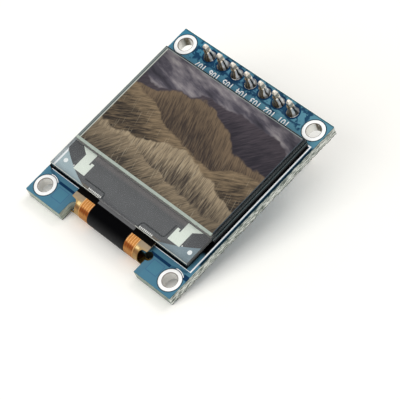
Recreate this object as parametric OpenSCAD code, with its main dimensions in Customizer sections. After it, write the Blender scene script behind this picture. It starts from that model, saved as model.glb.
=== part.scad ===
// Small colour OLED display module. A glass panel is taped to the front of a notched circuit
// board. Its film tail folds through the notch to the rear and is soldered there, and a row of
// header pins stands along the far edge. Sizes are in millimetres.
// The board lies level with its rear face at z = 0. The display faces +Z, the header is
// towards +Y, and the origin is the centre of the four corner holes on the rear face.

/* [Panel] */
// Width of the front glass
panel_w = 25.7; // [22:0.1:30]
// Length of the front glass, with its ledge
panel_l = 22.2; // [19:0.1:26]
// Thickness of the front glass
front_glass_t = 0.6; // [0.4:0.05:1.1]
// Thickness of the rear glass
rear_glass_t = 0.55; // [0.4:0.05:1.1]
// Chamfer ground along the edges of both glasses
glass_chamfer = 0.08; // [0.02:0.01:0.15]
// Length of the ledge, where the front glass runs past the rear glass
ledge_l = 4.65; // [4:0.05:5.5]
// Thickness of the sealed layer between the two glasses
seal_t = 0.05; // [0.03:0.01:0.2]
// Width of the seal round the lit area
seal_w = 0.6; // [0.4:0.05:1.5]
// Gap between the seal and the lit area
seal_gap = 0.15; // [0.05:0.05:0.5]
// Thickness of the polariser sheet
polariser_t = 0.25; // [0.15:0.05:0.5]
// Distance from the polariser to the front glass's side and far edges
polariser_inset = 0.25; // [0.1:0.05:1]
// Distance from the polariser's near edge to the ledge
polariser_setback = 0.05; // [0:0.05:1.5]
// Thickness of the tape that holds the panel to the board
tape_t = 0.3; // [0.15:0.05:1]
// Distance from the tape to the rear glass's edges
tape_inset = 0.05; // [0.02:0.01:1]

/* [Board] */
// Thickness of the board
board_t = 1.6; // [1:0.1:2.4]
// Width of board beside the panel, on each side
side_margin = 0.8; // [0.5:0.1:3]
// Length of board in front of the panel, with the two ears
near_margin = 4.45; // [4:0.05:7]
// Length of board behind the panel, with the header
far_margin = 4.05; // [3.6:0.05:7]
// Radius of the board's corners
corner_r = 0.15; // [0.1:0.05:1.2]
// Depth of the notch that the film tail passes through
notch_d = 2.75; // [2.4:0.05:3.2]
// Gap between the film tail and each side of the notch
notch_side_gap = 0.75; // [0.4:0.05:1]
// Radius of the drilled relief at the notch's right inner corner
relief_r = 0.65; // [0.4:0.05:0.9]
// Radius of the notch's left inner corner, as the router leaves it
notch_r = 1; // [0.4:0.05:1.2]

/* [Corner holes] */
// Clear diameter of the plated holes
hole_d = 2; // [1.6:0.1:2.4]
// Distance from a hole's centre to the board's side edge
hole_inset_x = 1.85; // [1.7:0.05:3]
// Distance from a hole's centre to the board's near or far edge
hole_inset_y = 1.95; // [1.7:0.05:3]
// Outer diameter of the tinned rings
ring_d = 3.15; // [2.8:0.05:3.3]
// Thickness of the plating in the holes and on the rings and pads
plating_t = 0.05; // [0.03:0.01:0.1]

/* [Header] */
// Number of pins
pin_count = 7; // [4:1:7]
// Distance from pin to pin
pin_pitch = 2.54; // [2:0.01:2.54]
// Side of the square pins
pin_side = 0.64; // [0.5:0.01:0.66]
// Side of the flat at a pin's tapered tip
pin_tip = 0.3; // [0.2:0.05:0.5]
// Length of the taper at each pin end
pin_taper = 0.4; // [0.2:0.05:1]
// Length of pin above the board's front
pin_stub = 2.7; // [2.2:0.1:3.2]
// Length of pin below the housing
pin_reach = 7; // [3:0.1:12]
// Distance from the pin row to the board's far edge
pin_inset = 1.45; // [1.3:0.05:2]
// Clear diameter of the plated pin holes
pin_hole_d = 1; // [0.95:0.01:1.2]
// Diameter of the pads round the pin holes
pad_d = 1.75; // [1.4:0.05:1.9]
// Height of the solder cones above their pads
solder_h = 1.5; // [0.6:0.1:1.7]
// Radius of a solder cone's top, round the pin
solder_top_r = 0.49; // [0.48:0.01:0.6]
// Height of the plastic housing
housing_h = 2.54; // [2:0.01:8.5]
// Width of the housing across the row
housing_w = 2.5; // [2:0.05:2.5]
// Chamfer at the corners of each housing segment
housing_chamfer = 0.45; // [0.2:0.05:0.7]

/* [Ledge] */
// Thickness of the metal marks and bond pads on the rear of the front glass
mark_t = 0.02; // [0.01:0.01:0.05]
// Thickness of the grey resin under the ledge
resin_t = 0.06; // [0.03:0.01:0.15]
// Distance from the resin to the front glass's near edge
resin_inset = 0.3; // [0.1:0.05:0.6]
// Radius of the arc that the resin's two near corners follow
resin_arc_r = 22.5; // [19:0.5:25]
// Distance from the resin to the front glass's side edges
resin_side_inset = 0.35; // [0.1:0.05:0.8]
// Gap between the alignment marks and the rear glass
mark_gap = 0.05; // [0.02:0.01:0.2]
// Distance from an alignment mark's stem to the panel's centre line
mark_x = 9.96; // [9:0.02:10.4]
// Width of an alignment mark's stem
mark_stem_w = 1.4; // [0.8:0.1:1.6]
// Length of an alignment mark
mark_l = 3.25; // [2.4:0.05:3.4]
// Reach of an alignment mark's pointed flag
mark_flag_l = 1.25; // [0.6:0.05:1.6]
// Width of an alignment mark's flag
mark_flag_w = 0.8; // [0.4:0.05:1.2]
// Reach of an alignment mark's foot
mark_foot_l = 0.7; // [0.4:0.05:1]
// Width of an alignment mark's foot
mark_foot_w = 1.95; // [1:0.05:2.2]
// Diameter of the round dots near the ledge's corners
dot_d = 0.65; // [0.4:0.05:1]
// Distance from a dot to the glass's side edge
dot_inset_x = 1.2; // [0.8:0.05:1.5]
// Distance from a dot to the glass's near edge
dot_inset_y = 1.6; // [1:0.05:2]
// Number of bond pads in each group
bond_count = 9; // [5:1:12]
// Distance from bond pad to bond pad
bond_pitch = 0.27; // [0.2:0.01:0.3]
// Width of a bond pad
bond_w = 0.17; // [0.1:0.01:0.18]
// Length of a bond pad
bond_l = 0.4; // [0.2:0.05:0.6]
// Distance from a group's middle to the panel's centre line
bond_x = 4.8; // [4:0.05:5.5]

/* [Film tail] */
// Width of the tail at its waist, in the notch
film_w = 12.7; // [11:0.1:12.8]
// Width of the film above and below its waist
film_root_w = 14.1; // [14:0.1:15]
// Thickness of the film
film_t = 0.08; // [0.05:0.01:0.12]
// Length of film bonded under the ledge
film_bond_l = 2; // [1:0.1:3]
// Distance from the film's bend centre to the notch's inner edge
bend_inset = 0.4; // [0.2:0.05:0.5]
// How far the tail's slack loop hangs below its run on the rear
film_hang = 0.64; // [0.3:0.02:0.7]
// Radius of the bend from the loop up to the run on the rear
lift_r = 2; // [1.2:0.1:2.2]
// Length of the waist over the bend
waist_l = 2.7; // [2.4:0.1:2.8]
// Radius of the waist's corners
waist_r = 0.5; // [0.2:0.05:0.55]
// Turn of the waist's middle, from level up towards the ledge
waist_turn = 20; // [15:1:25]
// Length of film on the rear of the board, from the notch
film_rear_l = 4.2; // [3:0.1:6]
// Height of the solder between the film and the board's rear face
film_solder_h = 0.12; // [0.08:0.01:0.2]
// Width of the black cover band
cover_w = 6.8; // [5:0.1:6.9]
// Thickness of the black cover band
cover_t = 0.05; // [0.03:0.01:0.08]
// Number of copper tracks on each side of the cover band
track_count = 9; // [5:1:12]
// Distance from track to track
track_pitch = 0.19; // [0.15:0.01:0.25]
// Width of a track
track_w = 0.13; // [0.08:0.01:0.14]
// Thickness of a track
track_t = 0.03; // [0.02:0.01:0.04]
// Gap between the cover band and the first track
track_gap = 0.1; // [0.05:0.05:0.5]
// Number of solder joints at the film's rear end
joint_count = 19; // [11:1:20]
// Distance from joint to joint
joint_pitch = 0.6; // [0.5:0.01:0.62]
// Width of a joint
joint_w = 0.35; // [0.2:0.05:0.45]
// Length of a joint
joint_l = 1.5; // [0.8:0.1:2]
// Distance from the joints to the film's end
joint_inset = 0.2; // [0:0.1:0.6]
// Length of the driver chip
driver_l = 11; // [8:0.1:12]
// Width of the driver chip
driver_w = 1.3; // [0.8:0.1:1.8]
// Thickness of the driver chip
driver_t = 0.4; // [0.2:0.05:0.5]

/* [Rear parts] */
// Length of the chip capacitors and resistors
chip_l = 1.6; // [1:0.1:2]
// Width of the chip capacitors and resistors
chip_w = 0.8; // [0.5:0.05:1.25]
// Length of a chip's tinned ends
chip_end_l = 0.35; // [0.2:0.05:0.4]
// Height of the capacitors
capacitor_h = 0.8; // [0.4:0.05:1.2]
// Height of the resistors
resistor_h = 0.45; // [0.3:0.05:0.6]
// Length of the regulator's and the converter's bodies
ic_l = 2.9; // [2.6:0.1:3.2]
// Width of the regulator's body
regulator_w = 1.3; // [1.1:0.05:1.7]
// Width of the converter's body
converter_w = 1.6; // [1.3:0.05:1.8]
// Height of the regulator's and the converter's bodies
ic_h = 1; // [0.8:0.05:1.3]
// Gap between those bodies and the board
ic_standoff = 0.1; // [0.05:0.05:0.2]
// Distance between their leads
lead_pitch = 0.95; // [0.8:0.05:1.05]
// Width of a lead
lead_w = 0.4; // [0.25:0.05:0.5]
// Thickness of a lead
lead_t = 0.12; // [0.08:0.01:0.2]
// Length of a lead's shoulder, from the body to the bend
lead_shoulder = 0.2; // [0.1:0.05:0.4]
// Length of a lead's foot
lead_foot = 0.35; // [0.2:0.05:0.5]
// Side of the square inductor
inductor_w = 3; // [2:0.1:4]
// Height of the inductor's body
inductor_h = 1.3; // [0.8:0.1:2]
// Radius of the inductor's corners
inductor_r = 0.6; // [0.2:0.1:0.9]
// Length of the diode's body
diode_l = 1.7; // [1.4:0.1:2.7]
// Width of the diode's body
diode_w = 1.25; // [1:0.05:1.6]
// Height of the diode's body
diode_h = 0.85; // [0.6:0.05:1.1]
// Gap between the film's end and the row with the converter
power_row_gap = 4.4; // [3:0.1:6]
// Gap between neighbouring rows of rear parts
row_gap = 2; // [1:0.1:3]
// Gap between neighbours in a row
part_gap = 2.4; // [1.6:0.1:3]
// Gap between neighbouring resistors
resistor_gap = 1.4; // [0.6:0.1:2]
// Number of resistors in each of their two rows
resistor_count = 3; // [1:1:3]
// Reach of the diode's and the inductor's terminals
terminal_l = 0.4; // [0.2:0.05:0.6]
// Thickness of those terminals
terminal_t = 0.12; // [0.08:0.01:0.3]

/* [Hidden] */
$fn = 64;

// Board, built up from the panel and its margins
board_w = panel_w + 2 * side_margin;
board_l = near_margin + panel_l + far_margin;
hole_x = board_w / 2 - hole_inset_x;
hole_y = board_l / 2 - hole_inset_y;
pin_y = board_l / 2 - pin_inset;
notch_w = film_w + 2 * notch_side_gap;
notch_y = notch_d - board_l / 2;
cut = 1;

// Panel, stacked on the board's front face
panel_y = near_margin - board_l / 2;
panel_far_y = panel_y + panel_l;
ledge_y = panel_y + ledge_l;
rear_glass_z = board_t + tape_t;
seal_z = rear_glass_z + rear_glass_t;
front_glass_z = seal_z + seal_t;
polariser_z = front_glass_z + front_glass_t;
polariser_y = ledge_y + polariser_setback;
lit_inset = seal_w + seal_gap;
mark_y = ledge_y - mark_gap;

// Film tail, bent round the notch's inner edge and lifted again to the rear face
resin_z = front_glass_z - mark_t - resin_t;
film_z = resin_z - film_t;
bend_y = notch_y + bend_inset;
bend_r = (film_z + film_solder_h + film_hang) / 2;
bend_z = film_z - bend_r;
lift_z = -film_solder_h - lift_r;
lift_turn = acos((bend_z - lift_z) / (bend_r + lift_r));
lift_y = bend_y + (bend_r + lift_r) * sin(lift_turn);
film_end_y = notch_y + film_rear_l;
driver_y = panel_y + film_bond_l / 2;

// Rear parts in three rows, from the film's end towards the header: across, along and turn
power_y = film_end_y + power_row_gap + converter_w / 2;
diode_y = power_y + inductor_w / 2 + row_gap + diode_w / 2;
regulator_y = diode_y + diode_w / 2 + row_gap + lead_shoulder + lead_foot + regulator_w / 2;
beside_ic = ic_l / 2 + part_gap + chip_w / 2;
inductor_x = ic_l / 2 + part_gap + inductor_w / 2;
regulator_x = -beside_ic - part_gap - chip_w;
converter_spot = [0, power_y, 0];
inductor_spot = [inductor_x, power_y, 0];
diode_spot = [inductor_x, diode_y, 0];
regulator_spot = [regulator_x, regulator_y, 0];
capacitor_spots = [
    [-beside_ic, power_y, 90],
    [regulator_x, power_y, 90],
    [inductor_x + inductor_w / 2 + part_gap + chip_w / 2, power_y, 90],
    [regulator_x - beside_ic, regulator_y, 90],
    [regulator_x + beside_ic, regulator_y, 90],
    [0, diode_y, 0]
];
resistor_spots = [
    for (row = [0, 1], column = [0 : resistor_count - 1])
        [column * (chip_l + resistor_gap), regulator_y + row * (chip_w + resistor_gap), 0]
];

// Shapes that repeat

module rounded_rect(w, l, r) {
    square([w - 2 * r, l], center = true);
    square([w, l - 2 * r], center = true);
    for (sx = [-1, 1], sy = [-1, 1])
        translate([sx * (w / 2 - r), sy * (l / 2 - r)]) circle(r);
}

module sheet(w, y0, y1, z, t) {
    translate([-w / 2, y0, z]) cube([w, y1 - y0, t]);
}

// A glass with a small chamfer ground along all its edges
module ground_glass(w, y0, y1, z, t) {
    module section(l, c) {
        polygon([[c, 0], [l - c, 0], [l, c], [l, t - c], [l - c, t], [c, t], [0, t - c], [0, c]]);
    }
    intersection() {
        translate([-w / 2, y1, z]) rotate([90, 0, 0]) linear_extrude(y1 - y0) section(w, glass_chamfer);
        translate([-w / 2, y0, z]) rotate([90, 0, 90]) linear_extrude(w) section(y1 - y0, glass_chamfer);
    }
}

module at_corner_holes() {
    for (sx = [-1, 1], sy = [-1, 1]) translate([sx * hole_x, sy * hole_y, 0]) children();
}

module at_pins() {
    for (i = [0 : pin_count - 1]) translate([(i - (pin_count - 1) / 2) * pin_pitch, pin_y, 0]) children();
}

// A plated hole through the board, with a flat ring on each face
module plated_hole(clear_r, ring_r) {
    rotate_extrude() {
        translate([clear_r, -plating_t]) square([plating_t, board_t + 2 * plating_t]);
        for (z = [-plating_t, board_t]) translate([clear_r, z]) square([ring_r - clear_r, plating_t]);
    }
}

// Section through a layer of the tail, along the tail: a run under the ledge, a loop round the
// board's edge that goes past half a turn, a bend back and a run along the rear
module tail_section(inset, t, top_end) {
    r = bend_r + inset;
    back_r = lift_r - inset - t;
    far = bend_r + lift_r;
    translate([bend_y, bend_z]) {
        difference() {
            circle(r + t);
            circle(r);
            polygon([
                [0, 0], [far * sin(lift_turn), -far * cos(lift_turn)],
                [2 * far, -far], [2 * far, far], [0, far]
            ]);
        }
        translate([0, r]) square([top_end - bend_y, t]);
    }
    translate([lift_y, lift_z]) {
        intersection() {
            difference() {
                circle(back_r + t);
                circle(back_r);
            }
            polygon([[0, 0], [0, far], [-far * tan(lift_turn), far]]);
        }
        translate([0, back_r]) square([film_end_y - lift_y, t]);
    }
}

module tail_strip(x, w, inset, t, top_end) {
    translate([x, 0, 0]) rotate([90, 0, 90]) linear_extrude(w) tail_section(inset, t, top_end);
}

// One side's row of tracks, from the cover band outwards
module tracks() {
    for (i = [0 : track_count - 1])
        tail_strip(cover_w / 2 + track_gap + i * track_pitch, track_w, film_t, track_t, panel_y);
}

// Turns a part that is drawn standing on its board over on to the rear face
module on_rear(spot) {
    translate([spot[0], spot[1], 0]) rotate(spot[2]) mirror([0, 0, 1]) children();
}

module centred_box(l, w, z, h) {
    translate([-l / 2, -w / 2, z]) cube([l, w, h]);
}

// A lead bent out and down to the board, from a body of width w
module gull_lead(w) {
    mid = ic_standoff + (ic_h - lead_t) / 2;
    bend = w / 2 + lead_shoulder;
    toe = bend + lead_t + lead_foot;
    translate([-lead_w / 2, 0, 0]) rotate([90, 0, 90]) linear_extrude(lead_w) {
        translate([w / 2, mid]) square([lead_shoulder + lead_t, lead_t]);
        translate([bend, 0]) square([lead_t, mid + lead_t]);
        translate([bend, 0]) square([toe - bend, lead_t]);
    }
}

module pair_of_ends(x, l, w, h) {
    for (side = [0, 1]) mirror([side, 0, 0]) translate([x, -w / 2, 0]) cube([l, w, h]);
}

// Board and its plated holes

// Open towards the board's near edge, with one rounded and one relieved corner
module notch() {
    near_y = -board_l / 2 - cut;
    translate([-notch_w / 2, near_y]) square([notch_w, notch_y - notch_r - near_y]);
    translate([notch_r - notch_w / 2, near_y]) square([notch_w - notch_r, notch_y - near_y]);
    translate([notch_r - notch_w / 2, notch_y - notch_r]) circle(notch_r);
    translate([notch_w / 2, notch_y]) circle(relief_r);
}

module circuit_board() {
    color("steelblue") linear_extrude(board_t) difference() {
        rounded_rect(board_w, board_l, corner_r);
        notch();
        at_corner_holes() circle(hole_d / 2 + plating_t);
        at_pins() circle(pin_hole_d / 2 + plating_t);
    }
}

module corner_eyelets() {
    color("silver") at_corner_holes() plated_hole(hole_d / 2, ring_d / 2);
}

// Header

module header_pads() {
    color("silver") at_pins() plated_hole(pin_hole_d / 2, pad_d / 2);
}

// One bar, with a groove on both sides between neighbouring pins and a chamfer at its ends
module header_housing() {
    color("black") translate([0, pin_y, -plating_t - housing_h]) linear_extrude(housing_h) difference() {
        square([pin_count * pin_pitch, housing_w], center = true);
        for (i = [0 : pin_count], side = [-1, 1])
            translate([(i - pin_count / 2) * pin_pitch, side * housing_w / 2])
                rotate(45) square(housing_chamfer * sqrt(2), center = true);
        translate([0, -pin_y]) at_pins() square(pin_side, center = true);
    }
}

module header_pin() {
    low = -plating_t - housing_h - pin_reach;
    high = board_t + pin_stub;
    module side_view() {
        polygon([
            [-pin_tip / 2, low], [pin_tip / 2, low], [pin_side / 2, low + pin_taper],
            [pin_side / 2, high - pin_taper], [pin_tip / 2, high], [-pin_tip / 2, high],
            [-pin_side / 2, high - pin_taper], [-pin_side / 2, low + pin_taper]
        ]);
    }
    intersection() {
        rotate([90, 0, 0]) linear_extrude(pin_side, center = true) side_view();
        rotate([90, 0, 90]) linear_extrude(pin_side, center = true) side_view();
    }
}

module header_pins() {
    color("goldenrod") at_pins() header_pin();
}

// Solder that fills a pin hole and climbs the pin with a hollow flank
module header_solder_joints() {
    pad_z = board_t + plating_t;
    spread = pad_d / 2 - solder_top_r;
    flank_r = (solder_h * solder_h + spread * spread) / (2 * spread);
    color("gainsboro") at_pins() difference() {
        rotate_extrude() {
            square([pin_hole_d / 2, pad_z]);
            translate([0, pad_z]) difference() {
                square([pad_d / 2, solder_h]);
                translate([solder_top_r + flank_r, solder_h]) circle(flank_r);
            }
        }
        translate([0, 0, -cut]) linear_extrude(pad_z + solder_h + 2 * cut) square(pin_side, center = true);
    }
}

// Display panel, from the board up

module mounting_tape() {
    color("black")
        sheet(panel_w - 2 * tape_inset, ledge_y + tape_inset, panel_far_y - tape_inset, board_t, tape_t);
}

module rear_glass() {
    color("lightslategray") ground_glass(panel_w, ledge_y, panel_far_y, rear_glass_z, rear_glass_t);
}

module edge_seal() {
    color("dimgray") difference() {
        sheet(panel_w, ledge_y, panel_far_y, seal_z, seal_t);
        sheet(panel_w - 2 * seal_w, ledge_y + seal_w, panel_far_y - seal_w, seal_z - cut, seal_t + 2 * cut);
    }
}

module emitter_layer() {
    color("tan") sheet(panel_w - 2 * lit_inset, ledge_y + lit_inset, panel_far_y - lit_inset, seal_z, seal_t);
}

module front_glass() {
    color("lightsteelblue") ground_glass(panel_w, panel_y, panel_far_y, front_glass_z, front_glass_t);
}

module polariser() {
    color("darkslategray") sheet(
        panel_w - 2 * polariser_inset, polariser_y, panel_far_y - polariser_inset, polariser_z, polariser_t
    );
}

// Under the ledge

// One mark: a stem with a pointed flag at its top and a slotted foot
module alignment_mark() {
    stem_x = mark_x - mark_stem_w;
    linear_extrude(mark_t) translate([0, mark_y]) {
        translate([stem_x, -mark_l]) square([mark_stem_w, mark_l]);
        polygon([[mark_x, 0], [mark_x + mark_flag_l, 0], [mark_x, -mark_flag_w]]);
        difference() {
            translate([stem_x - mark_foot_l, -mark_l]) square([mark_foot_l, mark_foot_w]);
            translate([stem_x - mark_foot_l / 3, mark_foot_w - mark_l - mark_foot_l / 2])
                square([mark_foot_l / 3, mark_foot_l]);
        }
    }
}

module alignment_marks() {
    color("whitesmoke") translate([0, 0, front_glass_z - mark_t]) for (side = [0, 1]) mirror([side, 0, 0]) {
        alignment_mark();
        translate([panel_w / 2 - dot_inset_x, panel_y + dot_inset_y, 0]) cylinder(d = dot_d, h = mark_t);
    }
}

module bond_pads() {
    near_y = panel_y + resin_inset;
    color("white") for (side = [-1, 1], i = [0 : bond_count - 1])
        translate([side * bond_x + (i - (bond_count - 1) / 2) * bond_pitch, 0, 0])
            sheet(bond_w, near_y, near_y + bond_l, front_glass_z - mark_t, mark_t);
}

// The resin's two near corners follow a wide arc and leave the glass clear there
module ledge_resin() {
    near_y = panel_y + resin_inset;
    color("gray") translate([0, 0, resin_z]) linear_extrude(resin_t) intersection() {
        translate([resin_side_inset - panel_w / 2, near_y])
            square([panel_w - 2 * resin_side_inset, mark_y - near_y]);
        translate([0, near_y + resin_arc_r - resin_sagitta()]) circle(resin_arc_r, $fn = 180);
    }
}

// How far the arc would pass the resin's near edge at the panel's centre line
function resin_sagitta() =
    resin_arc_r - sqrt(resin_arc_r * resin_arc_r - film_root_w * film_root_w / 4);

// Film tail

// What is cut from both sides of the film to leave its waist
module waist_cut() {
    translate([0, bend_y, bend_z]) rotate([90 - waist_turn, 0, 0]) linear_extrude(bend_r + film_t + cut)
        for (side = [-1, 1]) translate([side * film_root_w / 2, 0])
            rounded_rect(film_root_w - film_w, waist_l, waist_r);
}

module flex_film() {
    color("orange") difference() {
        tail_strip(-film_root_w / 2, film_root_w, 0, film_t, panel_y + film_bond_l);
        waist_cut();
    }
}

module left_copper_tracks() {
    color("chocolate") mirror([1, 0, 0]) tracks();
}

module right_copper_tracks() {
    color("chocolate") tracks();
}

module flex_cover_band() {
    color("black") tail_strip(-cover_w / 2, cover_w, film_t, cover_t, panel_y);
}

module driver_chip() {
    color("slategray") translate([0, driver_y, 0])
        centred_box(driver_l, driver_w, film_z - driver_t, driver_t);
}

module flex_solder_joints() {
    color("silver") for (i = [0 : joint_count - 1])
        translate([(i - (joint_count - 1) / 2) * joint_pitch, film_end_y - joint_inset - joint_l / 2, 0])
            centred_box(joint_w, joint_l, -film_solder_h, film_solder_h);
}

// Rear parts

module regulator() {
    color("black") on_rear(regulator_spot) centred_box(ic_l, regulator_w, ic_standoff, ic_h);
}

module regulator_leads() {
    color("silver") on_rear(regulator_spot) {
        for (side = [-1, 1]) translate([side * lead_pitch, 0, 0]) gull_lead(regulator_w);
        rotate(180) gull_lead(regulator_w);
    }
}

module boost_converter() {
    color("black") on_rear(converter_spot) centred_box(ic_l, converter_w, ic_standoff, ic_h);
}

module boost_converter_leads() {
    color("silver") on_rear(converter_spot) for (turn = [0, 180], i = [-1 : 1])
        rotate(turn) translate([i * lead_pitch, 0, 0]) gull_lead(converter_w);
}

module inductor() {
    color("dimgray") on_rear(inductor_spot) translate([0, 0, terminal_t]) linear_extrude(inductor_h)
        rounded_rect(inductor_w, inductor_w, inductor_r);
}

module schottky_diode() {
    color("black") on_rear(diode_spot) centred_box(diode_l, diode_w, 0, diode_h);
}

module capacitors() {
    color("burlywood") for (spot = capacitor_spots)
        on_rear(spot) centred_box(chip_l - 2 * chip_end_l, chip_w, 0, capacitor_h);
}

module resistors() {
    color("black") for (spot = resistor_spots)
        on_rear(spot) centred_box(chip_l - 2 * chip_end_l, chip_w, 0, resistor_h);
}

module part_terminals() {
    color("silver") {
        for (spot = capacitor_spots)
            on_rear(spot) pair_of_ends(chip_l / 2 - chip_end_l, chip_end_l, chip_w, capacitor_h);
        for (spot = resistor_spots)
            on_rear(spot) pair_of_ends(chip_l / 2 - chip_end_l, chip_end_l, chip_w, resistor_h);
        on_rear(inductor_spot)
            pair_of_ends(inductor_w / 2 - terminal_l, terminal_l, inductor_w - 2 * inductor_r, terminal_t);
        on_rear(diode_spot) pair_of_ends(diode_l / 2, terminal_l, diode_w / 3, terminal_t);
    }
}

circuit_board();
corner_eyelets();
header_pads();
header_housing();
header_pins();
header_solder_joints();
mounting_tape();
rear_glass();
edge_seal();
emitter_layer();
front_glass();
polariser();
alignment_marks();
bond_pads();
ledge_resin();
flex_film();
left_copper_tracks();
right_copper_tracks();
flex_cover_band();
driver_chip();
flex_solder_joints();
regulator();
regulator_leads();
boost_converter();
boost_converter_leads();
inductor();
schottky_diode();
capacitors();
resistors();
part_terminals();
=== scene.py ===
import math

import bmesh
import bpy
from mathutils import Matrix, Vector, noise
from mathutils.geometry import tessellate_polygon


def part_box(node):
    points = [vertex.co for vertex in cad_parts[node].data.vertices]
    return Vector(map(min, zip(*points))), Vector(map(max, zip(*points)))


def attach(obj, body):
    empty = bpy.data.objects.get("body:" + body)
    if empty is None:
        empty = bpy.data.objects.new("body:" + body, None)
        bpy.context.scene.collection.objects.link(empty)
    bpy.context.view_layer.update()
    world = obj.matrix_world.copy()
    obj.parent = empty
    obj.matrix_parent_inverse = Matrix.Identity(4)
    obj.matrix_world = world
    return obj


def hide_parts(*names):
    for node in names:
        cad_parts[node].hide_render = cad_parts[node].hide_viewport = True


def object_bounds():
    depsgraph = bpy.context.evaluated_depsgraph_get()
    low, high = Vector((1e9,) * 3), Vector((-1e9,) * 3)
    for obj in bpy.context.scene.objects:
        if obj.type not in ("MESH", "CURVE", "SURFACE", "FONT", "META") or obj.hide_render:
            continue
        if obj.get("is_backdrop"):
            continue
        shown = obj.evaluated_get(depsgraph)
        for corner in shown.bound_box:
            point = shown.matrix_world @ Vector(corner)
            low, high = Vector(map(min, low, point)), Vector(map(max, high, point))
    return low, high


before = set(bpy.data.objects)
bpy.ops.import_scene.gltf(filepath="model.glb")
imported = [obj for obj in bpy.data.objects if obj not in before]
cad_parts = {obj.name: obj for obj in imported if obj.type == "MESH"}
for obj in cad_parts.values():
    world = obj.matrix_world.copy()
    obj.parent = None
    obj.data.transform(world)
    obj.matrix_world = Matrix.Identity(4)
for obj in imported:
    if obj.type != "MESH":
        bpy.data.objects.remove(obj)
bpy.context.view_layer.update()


# Circuit board: 1.6 mm glass-fibre laminate with a blue solder mask on both faces. The ears and
# the notch are routed, and the two long sides are snapped from a larger sheet, so they are torn.
MM = 0.001
board_x, board_y, board_t = (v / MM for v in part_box("circuit_board")[1])
corner_r, notch_x, notch_y, notch_r, relief_r = 0.15, 7.1, -12.6, 1.0, 0.65
hole_x, hole_y, hole_r, ring_r = 11.8, 13.4, 1.0, 1.575
pin_count, pin_pitch, pin_y, pin_hole_r, pad_r = 7, 2.54, 13.9, 0.5, 0.875
plating = 0.05
pin_xs = [(i - (pin_count - 1) / 2) * pin_pitch for i in range(pin_count)]
hole_centres = [(sx * hole_x, sy * hole_y) for sx in (-1, 1) for sy in (-1, 1)]


class Wire:
    """A socket in a material. Arithmetic between wires and numbers adds Math nodes."""

    def __init__(self, socket):
        self.socket = socket

    def node(self, kind, settings=None, sockets=None, out=0):
        tree = self.socket.id_data
        made = tree.nodes.new("ShaderNode" + kind)
        for name, value in (settings or {}).items():
            if name == "stops":
                ramp = made.color_ramp.elements
                for i, (place, colour) in enumerate(value):
                    stop = ramp[i] if i < len(ramp) else ramp.new(place)
                    stop.position, stop.color = place, hue(colour)
            else:
                setattr(made, name, value)
        for name, value in (sockets or {}).items():
            if isinstance(value, Wire):
                tree.links.new(value.socket, made.inputs[name])
            else:
                made.inputs[name].default_value = value
        return Wire(made.outputs[out])

    def math(self, operation, *others):
        return self.node("Math", {"operation": operation}, dict(enumerate((self, *others))))

    def __add__(self, other):
        return self.math("ADD", other)

    def __sub__(self, other):
        return self.math("SUBTRACT", other)

    def __rsub__(self, other):
        return self.node("Math", {"operation": "SUBTRACT"}, {0: other, 1: self})

    def __mul__(self, other):
        return self.math("MULTIPLY", other)

    def __truediv__(self, other):
        return self.math("DIVIDE", other)

    def __abs__(self):
        return self.math("ABSOLUTE")

    __radd__, __rmul__ = __add__, __mul__

    def either(self, other):
        return self.math("MAXIMUM", other)

    def far(self, other):
        """The length of the side across from two sides at a right angle."""
        return (self * self + other * other).math("SQRT")

    def above(self, edge, soft):
        """1 where the value is over the edge and 0 under it, with a soft step between."""
        step = {1: edge - soft / 2, 2: edge + soft / 2, 3: 0.0, 4: 1.0}
        return self.node("MapRange", {"interpolation_type": "SMOOTHSTEP"}, {0: self, **step})

    def between(self, low, high, soft):
        return self.above(low, soft) * (1 - self.above(high, soft))

    def axes(self):
        parts = self.node("SeparateXYZ", None, {0: self}).socket.node.outputs
        return [Wire(part) for part in parts]

    def stretched(self, x, y, z, turn=0.0):
        """A vector in millimetres turned about z and scaled on each axis."""
        settings = {"vector_type": "POINT"}
        turned = self.node("Mapping", settings, {"Vector": self, "Rotation": (0, 0, turn)})
        return turned.node("VectorMath", {"operation": "MULTIPLY"}, {0: turned, 1: (x, y, z)})

    def grain(self, scale, detail=3.0, rough=0.55):
        """Noise between about 0.2 and 0.8, scale cells to the millimetre."""
        sockets = {"Vector": self, "Scale": scale, "Detail": detail, "Roughness": rough}
        return self.node("TexNoise", None, sockets)

    def mix(self, under, over):
        """The colour over where this mask is 1, and under where it is 0."""
        sides = [hue(side) if isinstance(side, str) else side for side in (under, over)]
        return self.node("Mix", {"data_type": "RGBA"}, {0: self, 6: sides[0], 7: sides[1]}, out=2)

    def ramp(self, *stops):
        return self.node("ValToRGB", {"stops": stops}, {0: self})

    def bump(self, depth, strength=1.0):
        """A normal from this value as a height, depth millimetres from 0 to 1."""
        return self.node("Bump", None, {"Height": self, "Distance": depth * MM, "Strength": strength})


def hue(code):
    """A colour for a socket, from the six digits of a screen colour."""
    parts = [int(code[i:i + 2], 16) / 255 for i in (0, 2, 4)]
    return (*[p / 12.92 if p <= 0.04045 else ((p + 0.055) / 1.055) ** 2.4 for p in parts], 1.0)


def coating(name, **constants):
    """A material, the millimetre position on its surface, and a function that feeds its shader."""
    material = bpy.data.materials.new(name)
    material.use_nodes = True
    tree = material.node_tree
    shader = tree.nodes["Principled BSDF"]
    for key, value in constants.items():
        shader.inputs[key.replace("_", " ")].default_value = value
    place = Wire(tree.nodes.new("ShaderNodeTexCoord").outputs["Object"])
    place = place.node("VectorMath", {"operation": "SCALE"}, {0: place, "Scale": 1 / MM})

    def feed(**wires):
        for key, wire in wires.items():
            tree.links.new(wire.socket, shader.inputs[key.replace("_", " ")])

    return material, place, feed


def facing(place):
    """The three parts of the surface's own direction."""
    return place.node("NewGeometry", None, None, out=3).axes()


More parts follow.
